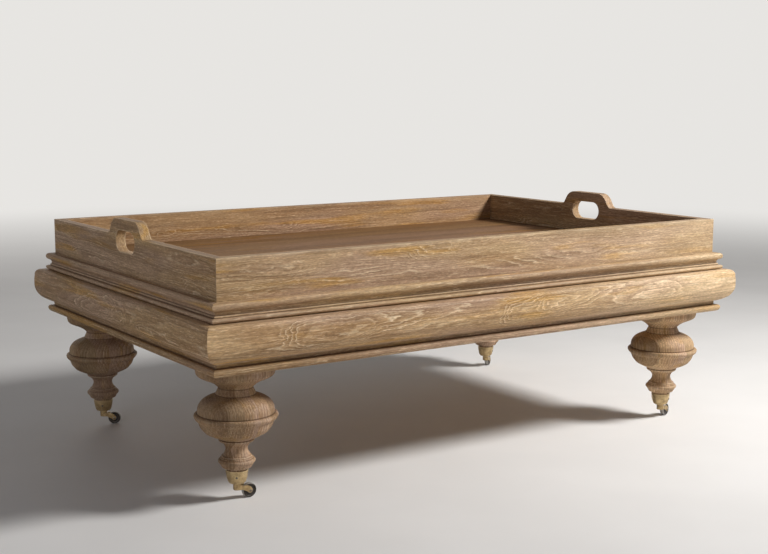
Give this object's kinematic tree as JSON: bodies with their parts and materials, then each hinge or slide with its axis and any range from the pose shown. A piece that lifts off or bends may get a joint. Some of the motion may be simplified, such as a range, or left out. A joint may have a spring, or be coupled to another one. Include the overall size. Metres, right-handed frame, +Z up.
{
  "type": "tray-top coffee table",
  "caption": "Long oak coffee table with a lift-off gallery tray top, moulded frieze, turned legs and swivelling cup casters",
  "frame": {"origin": "on the floor under the middle of the table", "axes": "+X runs along the length to the right, +Y away from the front long side, +Z up"},
  "size_m": [1.5004, 0.9984, 0.5645],
  "materials": {
    "tray_oak": "limed oak, matt waxed",
    "rim_oak": "limed oak, matt waxed",
    "leg_oak": "limed oak, matt waxed",
    "inner_softwood": "bare planed softwood",
    "caster_brass": "aged, soft sheen",
    "caster_steel": "riveted, dull",
    "wheel_iron": "dark, worn tread",
    "bolt_steel": "zinc plated"
  },
  "bodies": {
    "table": {"frieze_front": "rim_oak", "frieze_right": "rim_oak", "frieze_back": "rim_oak", "frieze_left": "rim_oak", "top_moulding_front": "rim_oak", "top_moulding_right": "rim_oak", "top_moulding_back": "rim_oak", "top_moulding_left": "rim_oak", "base_moulding_front": "rim_oak", "base_moulding_right": "rim_oak", "base_moulding_back": "rim_oak", "base_moulding_left": "rim_oak", "deck_panel": "inner_softwood", "cross_rail_1": "inner_softwood", "cross_rail_2": "inner_softwood", "corner_block_front_left": "inner_softwood", "corner_block_front_right": "inner_softwood", "corner_block_back_left": "inner_softwood", "corner_block_back_right": "inner_softwood", "leg_front_left": "leg_oak", "leg_front_right": "leg_oak", "leg_back_left": "leg_oak", "leg_back_right": "leg_oak", "caster_cup_front_left": "caster_brass", "caster_cup_front_right": "caster_brass", "caster_cup_back_left": "caster_brass", "caster_cup_back_right": "caster_brass", "leg_bolts": "bolt_steel", "leg_washers": "bolt_steel", "leg_nuts": "bolt_steel"},
    "tray": {"tray_front_board": "tray_oak", "tray_back_board": "tray_oak", "tray_left_end": "tray_oak", "tray_right_end": "tray_oak", "tray_floor": "tray_oak", "tray_batten_1": "inner_softwood", "tray_batten_2": "inner_softwood", "tray_batten_3": "inner_softwood"},
    "caster_front_left": {"caster_fork_front_left": "caster_brass", "caster_axle_front_left": "caster_steel"},
    "wheel_front_left": {"caster_wheel_front_left": "wheel_iron"},
    "caster_front_right": {"caster_fork_front_right": "caster_brass", "caster_axle_front_right": "caster_steel"},
    "wheel_front_right": {"caster_wheel_front_right": "wheel_iron"},
    "caster_back_left": {"caster_fork_back_left": "caster_brass", "caster_axle_back_left": "caster_steel"},
    "wheel_back_left": {"caster_wheel_back_left": "wheel_iron"},
    "caster_back_right": {"caster_fork_back_right": "caster_brass", "caster_axle_back_right": "caster_steel"},
    "wheel_back_right": {"caster_wheel_back_right": "wheel_iron"}
  },
  "joints": [
    {"name": "tray_lift", "type": "slide", "parent": "table", "child": "tray", "axis": [0, 0, 1], "range_m": [0, 0.12]},
    {"name": "front_left_swivel", "type": "hinge", "parent": "table", "child": "caster_front_left", "pos_m": [-0.624, -0.371, 0.026], "axis": [0, 0, 1], "continuous": true},
    {"name": "front_left_roll", "type": "hinge", "parent": "caster_front_left", "child": "wheel_front_left", "pos_m": [-0.59682, -0.37195, 0.0159], "axis": [0.0349, 0.9994, 0], "continuous": true},
    {"name": "front_right_swivel", "type": "hinge", "parent": "table", "child": "caster_front_right", "pos_m": [0.624, -0.371, 0.026], "axis": [0, 0, 1], "continuous": true},
    {"name": "front_right_roll", "type": "hinge", "parent": "caster_front_right", "child": "wheel_front_right", "pos_m": [0.64956, -0.3617, 0.0159], "axis": [-0.342, 0.9397, 0], "continuous": true},
    {"name": "back_left_swivel", "type": "hinge", "parent": "table", "child": "caster_back_left", "pos_m": [-0.624, 0.371, 0.026], "axis": [0, 0, 1], "continuous": true},
    {"name": "back_left_roll", "type": "hinge", "parent": "caster_back_left", "child": "wheel_back_left", "pos_m": [-0.60021, 0.35781, 0.0159], "axis": [0.4848, 0.8746, 0], "continuous": true},
    {"name": "back_right_swivel", "type": "hinge", "parent": "table", "child": "caster_back_right", "pos_m": [0.624, 0.371, 0.026], "axis": [0, 0, 1], "continuous": true},
    {"name": "back_right_roll", "type": "hinge", "parent": "caster_back_right", "child": "wheel_back_right", "pos_m": [0.64543, 0.38775, 0.0159], "axis": [-0.6157, 0.788, 0], "continuous": true}
  ]
}
